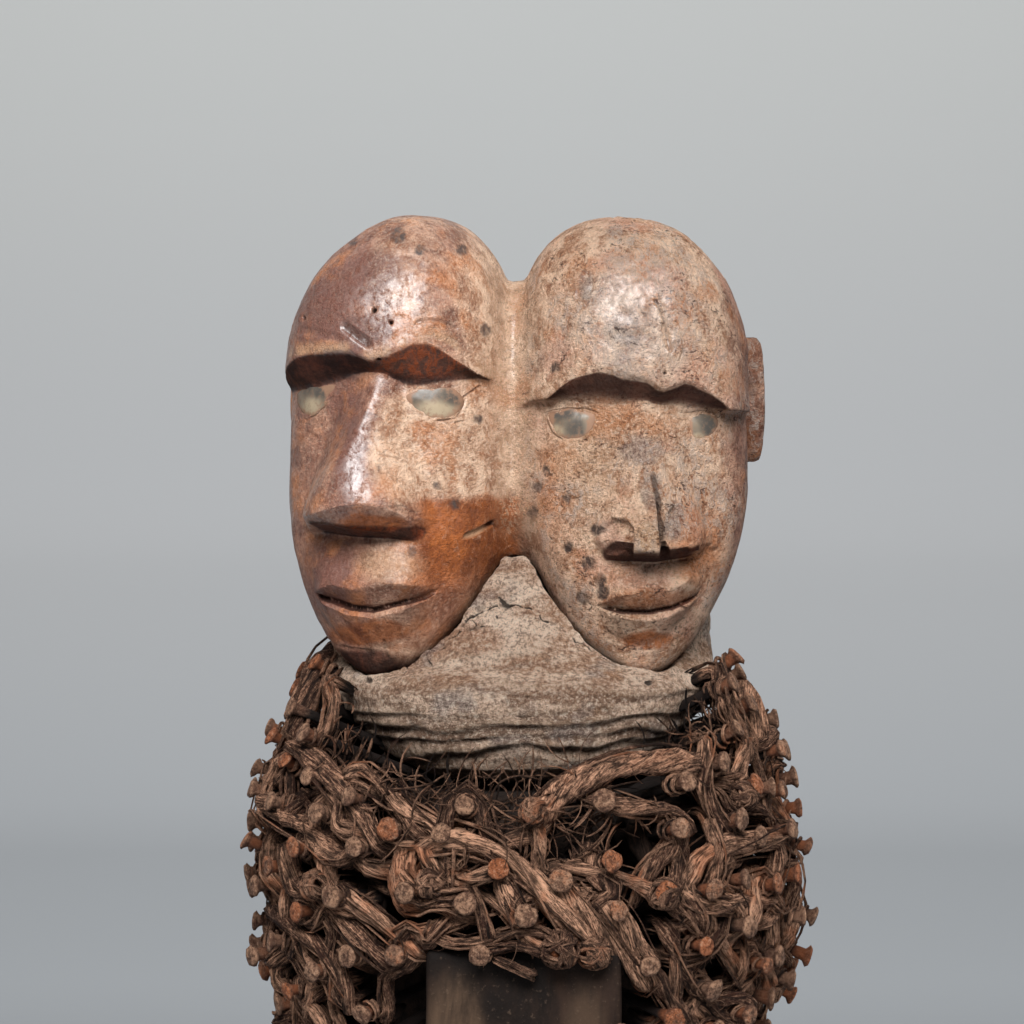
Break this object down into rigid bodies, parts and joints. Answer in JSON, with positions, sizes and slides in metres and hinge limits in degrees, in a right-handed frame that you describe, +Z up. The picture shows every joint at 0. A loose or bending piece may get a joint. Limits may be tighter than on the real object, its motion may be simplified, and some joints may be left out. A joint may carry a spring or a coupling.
{
  "type": "nkisi nkondi figure",
  "caption": "Standing carved wooden power figure, paired heads on one neck, with glass eyes, a hardened neck pack, a belly box and bound iron nails all round its torso, on a low base.",
  "frame": {"origin": "centre of the base's flat underside", "axes": "+Z up, the faces look along -Y, +X towards the viewer's right"},
  "size_m": [0.1877, 0.177, 0.45],
  "materials": {
    "wood": "old carved hardwood, rubbed to a soft gloss on the brows and noses, dusty in its hollows",
    "hardened_clay": "dry hardened earth and resin, matte, cracked where it meets the wood",
    "box_wood": "dark handled wood with greyish worn edges, dull",
    "glass": "clouded grey-green glass over a pale backing",
    "fibre": "dry twisted plant fibre, brown, dusty on the outside",
    "rusted_iron": "hand-forged iron, brown and orange rust"
  },
  "bodies": {
    "root": {"carved_figure": "wood", "neck_pack": "hardened_clay", "belly_box": "box_wood", "glass_eye_left_head_outer": "glass", "glass_eye_left_head_inner": "glass", "glass_eye_right_head_outer": "glass", "glass_eye_right_head_inner": "glass", "bound_nails_row_1": "fibre", "bound_nails_row_2": "fibre", "bound_nails_row_3": "fibre", "bound_nails_row_4": "fibre", "bound_nails_row_5": "fibre", "bound_nails_row_6": "fibre", "nail_left_shoulder": "rusted_iron", "nail_left_back": "rusted_iron", "nail_back": "rusted_iron", "nail_right_back": "rusted_iron", "nail_right_shoulder": "rusted_iron", "nail_under_left": "rusted_iron", "nail_under_right": "rusted_iron"}
  },
  "joints": []
}
